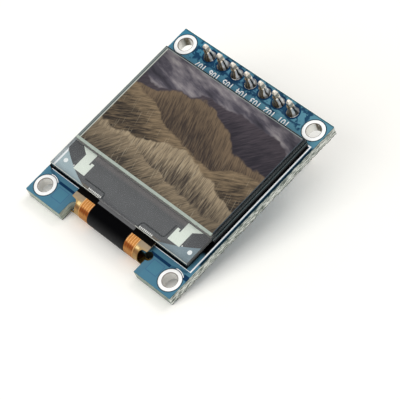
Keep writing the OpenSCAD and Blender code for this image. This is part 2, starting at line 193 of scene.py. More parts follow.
def piece(name, material, verts, faces, stands_for=(), sharp=35):
    """A mesh in millimetres as a piece of the object, smooth but for edges over the sharp angle."""
    shape = bmesh.new()
    points = [shape.verts.new(Vector(v) * MM) for v in verts]
    for face in faces:
        shape.faces.new([points[i] for i in face])
    bmesh.ops.remove_doubles(shape, verts=shape.verts, dist=2e-8)
    mesh = bpy.data.meshes.new(name)
    shape.to_mesh(mesh)
    shape.free()
    mesh.validate()
    mesh.polygons.foreach_set("use_smooth", [True] * len(mesh.polygons))
    mesh.set_sharp_from_angle(angle=math.radians(sharp))
    mesh.materials.append(material)
    made = bpy.data.objects.new(name, mesh)
    bpy.context.scene.collection.objects.link(made)
    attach(made, "root")
    if stands_for:
        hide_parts(*stands_for)
    return made


def arc(cx, cy, r, start, end, count):
    """Points on an arc, from one angle to another in degrees."""
    turns = [math.radians(start + (end - start) * i / count) for i in range(count + 1)]
    return [(cx + r * math.cos(a), cy + r * math.sin(a)) for a in turns]


def cap(loops, z, up, verts, faces):
    """Adds a flat face, with its later loops as holes, to a mesh."""
    first = len(verts)
    verts += [(x, y, z) for loop in loops for x, y in loop]
    for a, b, c in tessellate_polygon([[Vector((x, y, 0)) for x, y in loop] for loop in loops]):
        pa, pb, pc = (Vector(verts[first + i]) for i in (a, b, c))
        rising = (pb - pa).cross(pc - pa).z > 0
        order = (a, b, c) if rising == up else (a, c, b)
        faces.append([first + i for i in order])


def wall(rows, verts, faces):
    """Adds quads between rows of points, each row a closed loop one above the other."""
    first, n = len(verts), len(rows[0])
    for row in rows:
        verts += row
    for r in range(len(rows) - 1):
        low, high = first + r * n, first + (r + 1) * n
        faces += [[low + i, low + (i + 1) % n, high + (i + 1) % n, high + i] for i in range(n)]


# The outline runs round anticlockwise, with close points along the torn sides. One inner corner of
# the notch is round, and the other is drilled out.
side_step = 0.1
side_count = round(2 * (board_y - corner_r) / side_step)
tear_depth, tear_levels, edge_break = 0.13, 9, 0.025
outline = [(-notch_x, -board_y), (-notch_x, notch_y - notch_r)]
outline += arc(notch_r - notch_x, notch_y - notch_r, notch_r, 180, 90, 16)[1:]
outline += arc(notch_x, notch_y, relief_r, 180, -90, 28)
outline += [(notch_x, -board_y)]
outline += arc(board_x - corner_r, corner_r - board_y, corner_r, -90, 0, 4)
right_side = len(outline)
outline += [(board_x, corner_r - board_y + side_step * i) for i in range(1, side_count)]
right_side_end = len(outline)
outline += arc(board_x - corner_r, board_y - corner_r, corner_r, 0, 90, 4)
outline += arc(corner_r - board_x, board_y - corner_r, corner_r, 90, 180, 4)
left_side = len(outline)
outline += [(-board_x, board_y - corner_r - side_step * i) for i in range(1, side_count)]
left_side_end = len(outline)
outline += arc(corner_r - board_x, corner_r - board_y, corner_r, 180, 270, 4)


def torn(i, z):
    """How far the wall is torn back at a point of the outline, more towards the rear face."""
    if not (right_side <= i < right_side_end or left_side <= i < left_side_end):
        return 0.0
    x, y = outline[i]
    coarse = noise.noise(Vector((x, y * 1.3, z * 0.9)))
    fine = noise.noise(Vector((x + 5, y * 4.2, z * 2.4)))
    bite = 0.4 + 0.6 * coarse + 0.6 * fine
    depth = tear_depth * (1 - 0.75 * z / board_t)
    return depth * min(1.0, max(0.0, bite))


def board_row(z, inset):
    """The outline at one height, torn and pulled in by an edge break."""
    row = []
    for i, (x, y) in enumerate(outline):
        before, after = outline[i - 1], outline[(i + 1) % len(outline)]
        along = Vector((after[0] - before[0], after[1] - before[1])).normalized()
        back = torn(i, z) + inset
        row.append((x - along.y * back, y + along.x * back, z))
    return row


verts, faces = [], []
step = (board_t - 2 * edge_break) / tear_levels
heights = [0.0, *[edge_break + step * i for i in range(tear_levels + 1)], board_t]
rows = [board_row(z, edge_break if z in (0.0, board_t) else 0.0) for z in heights]
wall(rows, verts, faces)
holes = [arc(x, y, hole_r + plating, 360, 0, 64)[1:] for x, y in hole_centres]
holes += [arc(x, pin_y, pin_hole_r + plating, 360, 0, 32)[1:] for x in pin_xs]
for hole in holes:
    wall([[(x, y, z) for x, y in hole] for z in (0.0, board_t)], verts, faces)
for row, up in ((rows[0], False), (rows[-1], True)):
    cap([[(x, y) for x, y, z in row]] + holes, row[0][2], up, verts, faces)

laminate, place, feed = coating("masked laminate", IOR=1.5, Specular_IOR_Level=0.05)
x, y, z = place.axes()
level = abs(facing(place)[2]).above(0.7, 0.2)
front = z.above(board_t / 2, 0.1)
from_centre = abs(x)
# Copper under the mask shows as a paler field, and the bare laminate round it as a dark line.
gap_line = y.between(-12.16, -11.76, 0.06) * from_centre.between(7.0, 10.5, 0.08)
gap_line = gap_line.either(y.between(-12.35, -11.65, 0.1) * x.above(12.8, 0.3))
step_line = (y - 0.27 * from_centre).between(-14.95, -14.6, 0.06) * from_centre.between(10.3, 12.9, 0.2)
patch = y.between(-14.1, -12.5, 0.08) * from_centre.between(8.1, 9.9, 0.08)
patch_rim = y.between(-14.2, -12.4, 0.05) * from_centre.between(8.0, 10.0, 0.05) - patch
grey_rim = (1 - y.above(-12.3, 0.3)) * (1 - from_centre.above(8.0, 0.3))
# Outside the print along the panel's long sides, the mask is painted dark as shade and as a reflection
# of the panel's black side.
side_painted_shade = from_centre.above(13.34, 0.04) * y.between(-9.6, 11.2, 0.6)
# The board is painted black as shade under the panel and its ledge and beside the panel's long sides,
# with a painted shadow wedge at the near left corner.
shade_near, shade_far, shade_left, shade_right, shade_side = -11.01, 11.5, -13.0, 12.45, 13.06
painted_panel_shade = y.between(shade_near, shade_far, 0.03) * x.between(shade_left, shade_right, 0.15)
shade_sides = y.between(-8.3, 11.3, 0.9) * (1 - from_centre.above(shade_side, 0.05))
shade_corner = (y + x * 0.42).between(-16.62, -16.2, 0.1) * x.between(-13.6, -12.7, 0.1)
painted_panel_shade = painted_panel_shade.either(shade_sides).either(shade_corner)
pin_fold = (x + pin_pitch / 2).math("FLOORED_MODULO", pin_pitch) - pin_pitch / 2
pad_far = pin_fold.far(y - pin_y)
in_row = 1 - from_centre.above(pin_pitch * pin_count / 2, 0.05)
pad_moat = (1 - pad_far.above(1.1, 0.06)) * in_row
trace_mid, trace_swing = 12.95, 0.2
trace_y = y - trace_mid - trace_swing * (x * 1.3).math("SINE")
trace_gap = (1 - abs(trace_y).above(0.13, 0.08)) * (1 - from_centre.above(9.8, 0.2))
pool = place.stretched(1, 1.3, 0.1, 0.6).grain(0.9, 3).above(0.51, 0.07) * y.above(11.6, 0.2)
pool = pool * (1 - from_centre.above(10.2, 0.4)) * (1 - pad_far.above(1.75, 0.4))
hole_far = (from_centre - hole_x).far(abs(y) - hole_y)
moat = 1 - hole_far.above(ring_r + 0.13, 0.06)
rear_lines = abs((x * 0.7 + y * 0.7).math("FLOORED_MODULO", 1.9) - 0.95).above(0.87, 0.03)
rear_lines = rear_lines * (1 - front) * place.grain(0.16, 1).above(0.5, 0.03)
# This dark line colour also covers the painted shade strip along the long sides.
bare = gap_line.either(step_line * 0.5).either(pad_moat).either(trace_gap * 0.8)
bare = (bare.either(pool * 0.9).either(side_painted_shade) * front).either(rear_lines * 0.6)
clouds = place.grain(0.5, 3)
speckle = place.grain(14, 2)
mask_colour = clouds.mix("48788f", "558499")
mask_colour = (patch * 0.25).mix(mask_colour, "4b8799")
mask_colour = (patch_rim * 0.6).mix(mask_colour, "3d5f86")
mask_colour = (grey_rim * 0.3).mix(mask_colour, "4d6f84")
teal = y.above(12.5, 4.0) * (0 - x).above(6.0, 10.0)
mask_colour = (teal * 0.5).mix(mask_colour, "2a7f9c")
mask_colour = (y.above(11.5, 0.5) * x.above(2.0, 8.0) * 0.5).mix(mask_colour, "6398a8")
mask_colour = (bare * 0.95).mix(mask_colour, "032c50")
mask_colour = (y.above(board_y - 0.16, 0.05) * 0.7).mix(mask_colour, "1d4a50")
mask_colour = (side_painted_shade * front * 0.85).mix(mask_colour, "061a24")
mask_colour = (moat * 0.85).mix(mask_colour, "1b2a34")
mask_colour = (painted_panel_shade * front).mix(mask_colour, "050607")
# The walls show the laminate: plies where they are routed and torn fibre on the long sides, with
# painted shade in the drilled corner and on the notch wall beside it.
layers = place.stretched(0.9, 0.9, 9).grain(1.0, 4, 0.6)
fibre = place.stretched(1, 0.6, 4.2).grain(1.6, 4, 0.7)
flake = (z - 0.35 - (fibre - 0.5) * 2.2).above(0.0, 0.15)
wall_colour = layers.ramp((0.3, "78857c"), (0.5, "aab4a8"), (0.68, "d2d7cc"))
torn_colour = fibre.ramp((0.38, "353f3a"), (0.46, "929c92"), (0.55, "f6f8f1"))
torn_colour = (z.above(board_t * 0.7, board_t * 0.6) * 0.3).mix(torn_colour, "6f7c75")
torn_colour = ((1 - flake) * 0.25).mix(torn_colour, "e6e9e0")
wall_colour = (x.above(7.0, 3.0) * 0.4).mix(wall_colour, "5f736f")
# Painted shade darkens the drilled corner and the notch wall beside it.
drilled = 1 - (x - notch_x).far(y - notch_y).above(relief_r + 0.12, 0.1)
painted_notch_shade = drilled.either(x.between(4.9, 7.0, 0.3) * y.between(-12.7, -12.4, 0.1))
wall_colour = painted_notch_shade.mix(wall_colour, "20231e")
wall_colour = from_centre.above(board_x - 0.35, 0.1).mix(wall_colour, torn_colour)
wall_colour = (1 - z.above(0.13, 0.06)).mix(wall_colour, "2f3d3c")
wall_colour = z.above(board_t - 0.06, 0.03).mix(wall_colour, "3a5a5f")
relief = (1 - bare - moat) * level * 0.7 + clouds * 0.5 + (fibre + speckle * 0.3) * (1 - level)
feed(
    Base_Color=level.mix(wall_colour, mask_colour),
    Roughness=(0.6 - level * 0.25) + (speckle - 0.5) * 0.12,
    Normal=relief.bump(0.02, 0.6),
)
piece("board", laminate, verts, faces, ["circuit_board"])


# Silk screen: white ink printed on the finished mask, a frame round the panel, an arc beside two
# of the screw holes, and a plain number at each pin that reads from the header's side.
ink_t, ink_sink = 0.025, 0.005
frame_x, frame_w, frame_near, frame_far = 13.17, 0.2, -11.11, 11.4
line_w, near_start, left_start = 0.07, -12.9, -10.2
number_y, number_size, first_number = 12.08, 1.25, 101
hole_arc_r, hole_arc_w, hole_arc_turns = 1.72, 0.11, (48, 105)


def bar(x0, y0, x1, y1, z0, z1, verts, faces):
    """Adds a box to a mesh."""
    loop = [(x0, y0), (x1, y0), (x1, y1), (x0, y1)]
    wall([[(x, y, z) for x, y in loop] for z in (z0, z1)], verts, faces)
    cap([loop], z0, False, verts, faces)
    cap([loop], z1, True, verts, faces)


def ribbon(points, width, z0, z1, verts, faces):
    """Adds a flat strip of one width along a line of points to a mesh."""
    left, right = [], []
    for i, (px, py) in enumerate(points):
        before, after = points[max(i - 1, 0)], points[min(i + 1, len(points) - 1)]
        along = Vector((after[0] - before[0], after[1] - before[1])).normalized() * (width / 2)
        left.append((px - along.y, py + along.x))
        right.append((px + along.y, py - along.x))
    loop = right + left[::-1]
    wall([[(px, py, z) for px, py in loop] for z in (z0, z1)], verts, faces)
    cap([loop], z0, False, verts, faces)
    cap([loop], z1, True, verts, faces)


def printed(text, x, y, size, turn, z0, z1, verts, faces):
    """Adds a line of figures, centred and printed from z0 to z1, to a mesh."""
    letters = bpy.data.curves.new("figures", "FONT")
    letters.body, letters.size, letters.align_x, letters.align_y = text, size, "CENTER", "CENTER"
    letters.extrude, letters.resolution_u, letters.offset = 0.5, 3, 0.02
    stand = bpy.data.objects.new("figures", letters)
    bpy.context.scene.collection.objects.link(stand)
    bpy.context.view_layer.update()
    drawn = stand.to_mesh()
    first, c, s = len(verts), math.cos(turn), math.sin(turn)
    for v in drawn.vertices:
        px, py = v.co.x, v.co.y
        verts.append((x + c * px - s * py, y + s * px + c * py, z1 if v.co.z > 0 else z0))
    faces += [[first + i for i in p.vertices] for p in drawn.polygons]
    stand.to_mesh_clear()
    bpy.data.objects.remove(stand)
    bpy.data.curves.remove(letters)


verts, faces = [], []
low, high = board_t - ink_sink, board_t + ink_t
side_in, side_out = frame_x - frame_w / 2, frame_x + frame_w / 2
for side in (-1, 1):
    inner, outer = sorted((side * side_in, side * side_out))
    bar(inner, frame_near if side > 0 else left_start, outer, frame_far, low, high, verts, faces)
    hole_arc = arc(side * hole_x, -hole_y, hole_arc_r, *hole_arc_turns, 12)
    ribbon(hole_arc, hole_arc_w, low, high, verts, faces)
bar(near_start, frame_near, side_in, frame_near + line_w, low, high, verts, faces)
bar(-side_in, frame_far - frame_w, side_in, frame_far, low, high, verts, faces)
for i, pin_x in enumerate(reversed(pin_xs)):
    printed(str(first_number + i), pin_x, number_y, number_size, math.pi, low, high, verts, faces)
ink, place, feed = coating("white print", IOR=1.48, Specular_IOR_Level=0.3)
worn = place.grain(9, 4, 0.6)
feed(
    Base_Color=worn.above(0.32, 0.2).mix("e4eaec", "ffffff"),
    Roughness=0.5 + worn * 0.2,
    Normal=worn.bump(0.01, 0.5),
)
piece("silk_screen", ink, verts, faces)


# Corner eyelets: copper plated through the four screw holes and tinned, with a flat ring on each
# face that is a little rounded at its rim.
def lathe(profile, cx, cy, count, verts, faces):
    """Adds a closed profile of radius and height, turned about an upright axis, to a mesh."""
    first, n = len(verts), len(profile)
    for k in range(count):
        a = 2 * math.pi * k / count
        verts += [(cx + r * math.cos(a), cy + r * math.sin(a), z) for r, z in profile]
    for k in range(count):
        here, there = first + k * n, first + (k + 1) % count * n
        for i in range(n):
            j = (i + 1) % n
            faces.append([here + i, there + i, there + j, here + j])


def eyelet_profile(clear_r, outer_r, rim):
    """Section of a plated hole with a ring on both faces, from the bore round to the bore."""
    half = [(clear_r, board_t - 0.2), (clear_r + 0.01, board_t + plating - 0.06)]
    half += [(clear_r + 0.05, board_t + plating - 0.012), (clear_r + 0.11, board_t + plating)]
    half += [(outer_r - rim, board_t + plating - 0.004), (outer_r - rim * 0.3, board_t + plating * 0.7)]
    half += [(outer_r, board_t)]
    other = [(r, board_t - z) for r, z in reversed(half)]
    return [*other, *half][::-1]


verts, faces = [], []
for hole in hole_centres:
    lathe(eyelet_profile(hole_r, ring_r, 0.1), *hole, 72, verts, faces)
tin, place, feed = coating("tinned ring", IOR=1.5)
x, y, z = place.axes()
rim_far = (abs(x) - hole_x).far(abs(y) - hole_y)
smear = place.stretched(1, 1, 0.4).grain(2.2, 4, 0.6)
scratch = place.stretched(1.5, 9, 4, 0.5).grain(3, 3, 0.6)
barrel = z.between(0.03, board_t - 0.03, 0.06)
# The lip round each bore is painted dark brown as shade where the ring turns down into the hole.
lip = (1 - rim_far.above(hole_r + 0.1, 0.06)) * (1 - barrel)
ring_colour = lip.mix(smear.mix("f2f2f0", "fdfdfb"), smear.mix("3d342c", "8d8276"))
# The two far barrels have a brown patch, painted shade with some flux stain, turned a little to the
# left in the left one.
on_left = 1 - x.above(0.0, 1.0)
patch_turn, patch_narrow = 0.83, 0.28
patch_way = (y - hole_y - (x + hole_x) * on_left * patch_turn) * (1 - on_left * patch_narrow)
stain_and_painted_shade = patch_way.above(hole_r * 0.86, 0.16)
barrel_colour = (stain_and_painted_shade * smear.above(0.4, 0.2)).mix(smear.mix("ebe9e3", "fcfbf8"), "7f7461")
feed(
    Base_Color=barrel.mix(ring_colour, barrel_colour),
    Metallic=0.35 + barrel * (y.above(0.0, 1.0) * 0.8 - 0.25),
    Roughness=0.24 + smear * 0.2 + barrel * 0.04,
    Normal=(smear + scratch * 0.35).bump(0.012, 0.7),
)
piece("corner_rings", tin, verts, faces, ["corner_eyelets"])


# Pin header: a bar of seven square pins in a black moulded strip, pushed in from the rear. The
# pins are soldered on the front, where the solder wets each pad and climbs its pin.
def dress(node, material, bevel=0.0, segments=2):
    """Gives a CAD node its material, and breaks its edges where they are worn round."""
    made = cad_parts[node]
    made.data.materials.clear()
    made.data.materials.append(material)
    if bevel:
        weld = made.modifiers.new("weld", "WELD")
        weld.merge_threshold = 0.0005 * MM
        flat = made.modifiers.new("flat faces", "DECIMATE")
        flat.decimate_type, flat.angle_limit = "DISSOLVE", math.radians(2)
        soft = made.modifiers.new("edge break", "BEVEL")
        soft.width, soft.segments, soft.limit_method = bevel * MM, segments, "ANGLE"
        soft.angle_limit, soft.harden_normals = math.radians(30), True


verts, faces = [], []
for pin_x in pin_xs:
    lathe(eyelet_profile(pin_hole_r, pad_r, 0.06), pin_x, pin_y, 40, verts, faces)
pad_tin, place, feed = coating("tinned pad", Metallic=1.0, IOR=1.5)
smear = place.grain(4, 4, 0.6)
feed(
    Base_Color=smear.ramp((0.36, "6d6558"), (0.5, "c8c1b4"), (0.64, "efece6")),
    Roughness=0.18 + smear * 0.2,
    Normal=smear.bump(0.02, 0.7),
)
piece("pin_pads", pad_tin, verts, faces, ["header_pads"])

moulding, place, feed = coating("moulded black", IOR=1.5)
pits = place.grain(16, 3)
sheen = place.grain(0.8, 3)
feed(
    Base_Color=sheen.mix("121213", "232325"),
    Roughness=0.36 + pits * 0.25,
    Normal=pits.bump(0.012, 0.6),
)
dress("header_housing", moulding, 0.06)

pins_low, pins_high = (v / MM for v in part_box("header_pins"))
plated, place, feed = coating("plated pin", Metallic=0.6, IOR=1.5)
x, y, z = place.axes()
drawn = place.stretched(9, 9, 0.7).grain(1.6, 4, 0.6)
# The pin's colour paints light and shade: a painted highlight on the tops, the side facing +x painted
# lit and the rest shaded, and dark stains painted on the shaded side only.
bright = z.above(pins_high.z - 0.5, 0.35)
shaded_side_stain = place.stretched(1, 1, 1.6).grain(2.6, 4).above(0.5, 0.16) * z.above(board_t, 0.2)
painted_lit_side = facing(place)[0].above(0.3, 0.5)
pin_colour = painted_lit_side.mix(drawn.mix("6e5c46", "a8926f"), drawn.mix("d6c8ad", "f6ecdc"))
pin_colour = (shaded_side_stain * (1 - painted_lit_side) * 0.6).mix(pin_colour, "4f4236")
pin_colour = (bright * 0.9).mix(pin_colour, "fbf3e6")
feed(Base_Color=pin_colour, Roughness=0.2 + drawn * 0.2, Normal=drawn.bump(0.01, 0.6))
dress("header_pins", plated, 0.07)

# The flank is hollow near the pad, and each joint has taken a slightly different amount.
solder_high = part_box("header_solder_joints")[1] / MM
solder_h, solder_top_r, solder_rings, solder_turns = solder_high.z - board_t, 0.49, 16, 40
verts, faces = [], []
for n, pin_x in enumerate(pin_xs):
    first = len(verts)
    swell = 1 + 0.1 * noise.noise(Vector((n * 3.7, 1.3, 0)))
    rings = []
    for k in range(solder_rings + 1):
        rise = k / solder_rings
        r = solder_top_r + (pad_r - 0.02 - solder_top_r) * (1 - rise) ** 2.1 * swell
        ring = []
        for i in range(solder_turns):
            a = 2 * math.pi * i / solder_turns
            lump = 0.09 * noise.noise(Vector((math.cos(a) + n * 2.1, math.sin(a), rise * 1.7)))
            top = 0.1 * rise * math.sin(2 * a + n)
            z = board_t + plating * 0.6 + rise * (solder_h - 0.14) + top
            wide = max(solder_top_r - 0.05 * rise, min(pad_r, r * (1 + lump)))
            ring.append((pin_x + wide * math.cos(a), pin_y + wide * math.sin(a), z))
        rings.append(ring)
    wall(rings, verts, faces)
    peak = first + solder_rings * solder_turns
    faces.append([peak + i for i in range(solder_turns)])
    faces.append([first + i for i in reversed(range(solder_turns))])
solder, place, feed = coating("bright solder", Metallic=0.2, IOR=1.6)
x, y, z = place.axes()
ripple = place.stretched(1, 1, 0.7).grain(1.1, 3, 0.5)
pin_fold = (x + pin_pitch / 2).math("FLOORED_MODULO", pin_pitch) - pin_pitch / 2
round_pin = (pin_fold + y - pin_y) * math.sqrt(0.5) / pin_fold.far(y - pin_y)
turned = round_pin * 0.5 + 0.5 + (ripple - 0.5) * 0.42
# The solder's colour is painted reflection, a ramp round each pin with a white streak and dark stripes,
# and it is darker near the pad as flux and painted shade.
flux_and_painted_shade = (1 - z.above(board_t + 0.4, 0.4)) * place.grain(2.4, 3).above(0.38, 0.2)
solder_painted_reflection = turned.ramp(
    (0.04, "94866d"), (0.14, "1a120b"), (0.29, "7a6a52"), (0.42, "1c1208"), (0.5, "b39a74"),
    (0.55, "ffffff"), (0.73, "ffffff"), (0.78, "3a3c3a"), (0.9, "17191a"), (0.98, "f2f0ec"),
)
feed(
    Base_Color=(flux_and_painted_shade * 0.75).mix(solder_painted_reflection, "1f180e"),
    Roughness=0.12 + ripple * 0.14 + flux_and_painted_shade * 0.2,
    Normal=ripple.bump(0.03, 0.6),
)
piece("solder_cones", solder, verts, faces, ["header_solder_joints"])


# Power parts on the rear: a regulator and a boost converter in moulded packages with tinned
# leads, an inductor, a diode, and ceramic capacitors and resistors, all reflow soldered.
def plain(name, grain, colours, rough, relief, **constants):
    """A material of one grain, which sets its colour, its roughness and its relief."""
    material, place, feed = coating(name, **constants)
    body = place.grain(*grain)
    feed(
        Base_Color=body.mix(*colours),
        Roughness=rough[0] + body * rough[1],
        Normal=body.bump(*relief),
    )
    return material


converter_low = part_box("boost_converter")[0] / MM
diode_low, diode_high = (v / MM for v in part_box("schottky_diode"))
epoxy, place, feed = coating("moulded package", IOR=1.5)
x, y, z = place.axes()
pits = place.grain(22, 3)
dot = 1 - (x - converter_low.x - 0.4).far(y - converter_low.y - 0.4).above(0.16, 0.04)
band = x.between(diode_high.x - 0.4, diode_high.x - 0.15, 0.03)
band = band * y.between(diode_low.y - 0.1, diode_high.y + 0.1, 0.01)
epoxy_colour = dot.either(band).mix(place.grain(1.2, 3).mix("141416", "29292c"), "a7a7a3")
feed(Base_Color=epoxy_colour, Roughness=0.45 + pits * 0.25, Normal=pits.bump(0.012, 0.7))
for node in ("regulator", "boost_converter", "schottky_diode"):
    dress(node, epoxy, 0.06)
tin_look = (5, 4, 0.6), ("b8b4ac", "eceae5"), (0.2, 0.25), (0.015, 0.6)
for node in ("regulator_leads", "boost_converter_leads", "part_terminals"):
    dress(node, plain(f"{node} tin", *tin_look, Metallic=1.0, IOR=1.5), 0.04)
ferrite_look = (12, 4, 0.65), ("2f2f31", "5a5a5b"), (0.6, 0.25), (0.02, 0.8)
dress("inductor", plain("pressed ferrite", *ferrite_look, IOR=1.5), 0.12, 3)
ceramic_look = (6, 3), ("8f704d", "b8966b"), (0.4, 0.2), (0.012, 0.6)
dress("capacitors", plain("fired ceramic", *ceramic_look, IOR=1.6), 0.06)
glaze_look = (7, 3), ("131316", "24242a"), (0.25, 0.2), (0.01, 0.5)
dress("resistors", plain("black glaze", *glaze_look, IOR=1.5), 0.04)


# Display panel, lower half: black double-sided foam tape, the rear glass with its dark backing,
# the seal between the glasses and the thin light-emitting layers inside it.
foam_look = (8, 3), ("08080a", "18181b"), (0.75, 0.2), (0.03, 0.8)
dress("mounting_tape", plain("black foam tape", *foam_look, IOR=1.45, Specular_IOR_Level=0.15))
rear_low, rear_high = (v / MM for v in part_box("rear_glass"))
backing, place, feed = coating("dark backed glass", IOR=1.52, Specular_IOR_Level=0.2)
x, y, z = place.axes()
streak = place.stretched(1.2, 1.2, 14).grain(1.5, 3)
# The rear glass's top edge is painted pale as a highlight.
ground = z.above(rear_high.z - 0.13, 0.05) * (1 - abs(facing(place)[2]).above(0.9, 0.1))
feed(
    Base_Color=ground.mix(streak.mix("0c0f10", "1b2022"), "6f8283"),
    Roughness=0.12 + streak * 0.15,
    Normal=streak.bump(0.01, 0.4),
)
dress("rear_glass", backing)
resin, place, feed = coating("seal resin", IOR=1.5, Specular_IOR_Level=0.2)
x, y, z = place.axes()
body = place.grain(4, 3)
near_seal = 1 - y.above(rear_low.y + 0.6, 0.1)
seal_colour = near_seal.mix(body.mix("0e1112", "1f2426"), body.mix("7d7874", "8a8580"))
feed(Base_Color=seal_colour, Roughness=0.4 + body * 0.2, Normal=body.bump(0.01, 0.5))
dress("edge_seal", resin)
layer, place, feed = coating("light-emitting layer", IOR=1.6)
cells = place.stretched(7.5, 7.5, 1).grain(1.0, 1)
feed(
    Base_Color=cells.mix("3c352d", "8f7c68"),
    Roughness=0.3 + cells * 0.1,
    Normal=cells.bump(0.005, 0.3),
)
dress("emitter_layer", layer)


# Ledge of the front glass: thin metal marks, bond pads and a grey resin coat on its rear face,
# all seen through the clear glass. The coat stops at a wide arc and leaves the corners clear.
mark_metal, place, feed = coating("thin bright metal", Metallic=0.2, IOR=1.5)
x, y, z = place.axes()
brush = place.stretched(1, 6, 1, 0.6).grain(2, 3)
spot = 1 - (abs(x) - 11.65).far(y + 9.3).above(0.45, 0.05)
mark_colour = spot.mix(brush.mix("d5ded0", "eaf0e6"), brush.mix("e0e6e4", "fafbfa"))
feed(Base_Color=mark_colour, Roughness=0.35 + brush * 0.15, Normal=brush.bump(0.006, 0.4))
dress("alignment_marks", mark_metal)
pad_metal, place, feed = coating("bond pad metal", Metallic=0.2, IOR=1.5)
pads_low, pads_high = (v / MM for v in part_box("bond_pads"))
x, y, z = place.axes()
brush = place.grain(9, 3)
covered = (y + (brush - 0.5) * 0.25).above(pads_low.y + (pads_high.y - pads_low.y) * 0.62, 0.06)
pad_colour = covered.mix(brush.mix("f4f2e6", "ffffff"), "4d4d4e")
feed(Base_Color=pad_colour, Roughness=0.3 + brush * 0.2, Normal=brush.bump(0.006, 0.4))
dress("bond_pads", pad_metal)

coat, place, feed = coating("grey ledge coat", IOR=1.5, Specular_IOR_Level=0.2)
x, y, z = place.axes()
from_centre = abs(x)
body = place.grain(1.1, 4)
dust = place.grain(18, 2)
lens_field = (from_centre + 0.3 * y).above(7.95, 0.06)
# A lighter band is painted along the coat's rear as light, where the polariser's edge shades it.
rear_painted_light = y.above(-6.9, 0.7)
fringe = (1 - y.above(-10.4, 0.25)) * from_centre.between(6.0, 7.6, 0.4)
speck = 1 - (from_centre - 10.18).far(y + 9.2).above(0.09, 0.05)
coat_colour = body.mix("4f4e4f", "555555")
coat_colour = rear_painted_light.mix(coat_colour, "6e6866")
coat_colour = (lens_field * 0.8).mix(coat_colour, "424142")
coat_colour = (fringe * 0.7).mix(coat_colour, "84755c")
coat_colour = speck.mix(coat_colour, "f4f4f0")
feed(Base_Color=coat_colour, Roughness=0.5 + dust * 0.15, Normal=body.bump(0.003, 0.4))
dress("ledge_resin", coat)

# A dark line edges the coat on both sides of the tail. It ends in a hook towards the near edge,
# and on the right it also turns up beside the mark.
glass_low, glass_high = (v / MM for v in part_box("front_glass"))
coat_low, coat_high = (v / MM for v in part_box("ledge_resin"))
edge_w, edge_y, edge_end, hook_r = 0.2, -9.75, 3.5, 0.4
verts, faces = [], []
for side in (-1, 1):
    run = [(7.48, -7.5), (7.42, -9.0)] if side > 0 else []
    run += arc(7.38 - hook_r, edge_y + hook_r, hook_r, 0, -90, 8) if side > 0 else [(7.4, edge_y)]
    run += arc(edge_end + hook_r, edge_y - hook_r, hook_r, 90, 180, 8)
    run += [(edge_end - 0.1, edge_y - hook_r - 0.4)]
    low, high = coat_high.z - 0.002, coat_high.z + 0.006
    ribbon([(side * px, py) for px, py in run][::side], edge_w, low, high, verts, faces)
edge_look = (6, 2), ("080809", "161617"), (0.4, 0.2), (0.004, 0.4)
edge_ink = plain("dark coat edge", *edge_look, IOR=1.5, Specular_IOR_Level=0.2)
piece("coat_edge", edge_ink, verts, faces)

# The clear corners have a pale electrode film, between the coat's arc and the glass's edges; its pale
# colour is partly the film and partly painted reflection in the glass.
arc_r, arc_half, arc_end = 22.5, 7.05, 6.4
film_inset, film_z, electrode_t = 0.06, coat_high.z - 0.016, 0.008
arc_y = coat_low.y + math.sqrt(arc_r ** 2 - arc_half ** 2)
verts, faces = [], []
for side in (-1, 1):
    x_out, near = glass_high.x - film_inset, glass_low.y + film_inset
    start, end = (math.degrees(math.asin(v / arc_r)) for v in (coat_high.x, arc_end))
    curve = arc(0, arc_y, arc_r, start - 90, end - 90, 20)
    loop = [(x_out, near), (x_out, coat_high.y), (coat_high.x, coat_high.y)]
    loop += curve + [(curve[-1][0], near)]
    loop = [(side * px, py) for px, py in loop][::side]
    wall([[(px, py, z) for px, py in loop] for z in (film_z, film_z + electrode_t)], verts, faces)
    cap([loop], film_z, False, verts, faces)
    cap([loop], film_z + electrode_t, True, verts, faces)
electrode, place, feed = coating("pale electrode film", IOR=1.5, Specular_IOR_Level=0.3)
x, y, z = place.axes()
veil = place.stretched(1, 1, 1, 0.4).grain(0.6, 3)
white_line = (0 - x).between(12.44, 12.68, 0.05)
coated = (0 - x).above(12.4, 0.05) * (y + x * 1.4).above(-25.5, 0.12)
# The pale colours stand partly for painted reflection, and the right corner is painted darker than the
# left.
veil_colour = veil.mix("94a8ae", "aebfc3")
veil_colour = (x.above(0.0, 0.1) * 0.85).mix(veil_colour, veil.mix("667982", "7a8b93"))
veil_colour = (0 - x).above(12.66, 0.03).mix(veil_colour, "dfe8ea")
veil_colour = white_line.mix(veil_colour, "ffffff")
veil_colour = coated.mix(veil_colour, veil.mix("454445", "4d4c4d"))
feed(Base_Color=veil_colour, Roughness=0.35 + veil * 0.1, Normal=veil.bump(0.004, 0.3))
piece("corner_electrode", electrode, verts, faces)


# Front glass: clear sheet glass, scored and broken to size, with its edges ground to a small
# chamfer. The rest of the panel hangs from it.
glass_lift, chamfer, over_cover = 0.006, 0.06, 3.45
base = glass_low.z + glass_lift
profile = [(chamfer, base), (0.0, base + chamfer)]
profile += [(0.0, glass_high.z - chamfer), (chamfer, glass_high.z)]
verts, faces, rows = [], [], []
for inset, z in profile:
    x0, x1 = glass_low.x + inset, glass_high.x - inset
    y0, y1 = glass_low.y + inset, glass_high.y - inset
    rows.append([(x0, y0, z), (x1, y0, z), (x1, y1, z), (x0, y1, z)])
wall(rows, verts, faces)
cap([[(x, y) for x, y, z in rows[0]]], base, False, verts, faces)
cap([[(x, y) for x, y, z in rows[-1]]], glass_high.z, True, verts, faces)
clear_glass, place, feed = coating("clear glass", IOR=1.52, Roughness=0.04, Specular_IOR_Level=0.3)
x, y, z = place.axes()
rise = abs(facing(place)[2])
level, ground = rise.above(0.85, 0.1), rise.between(0.5, 0.85, 0.1) * z.above(base + 0.2, 0.1)
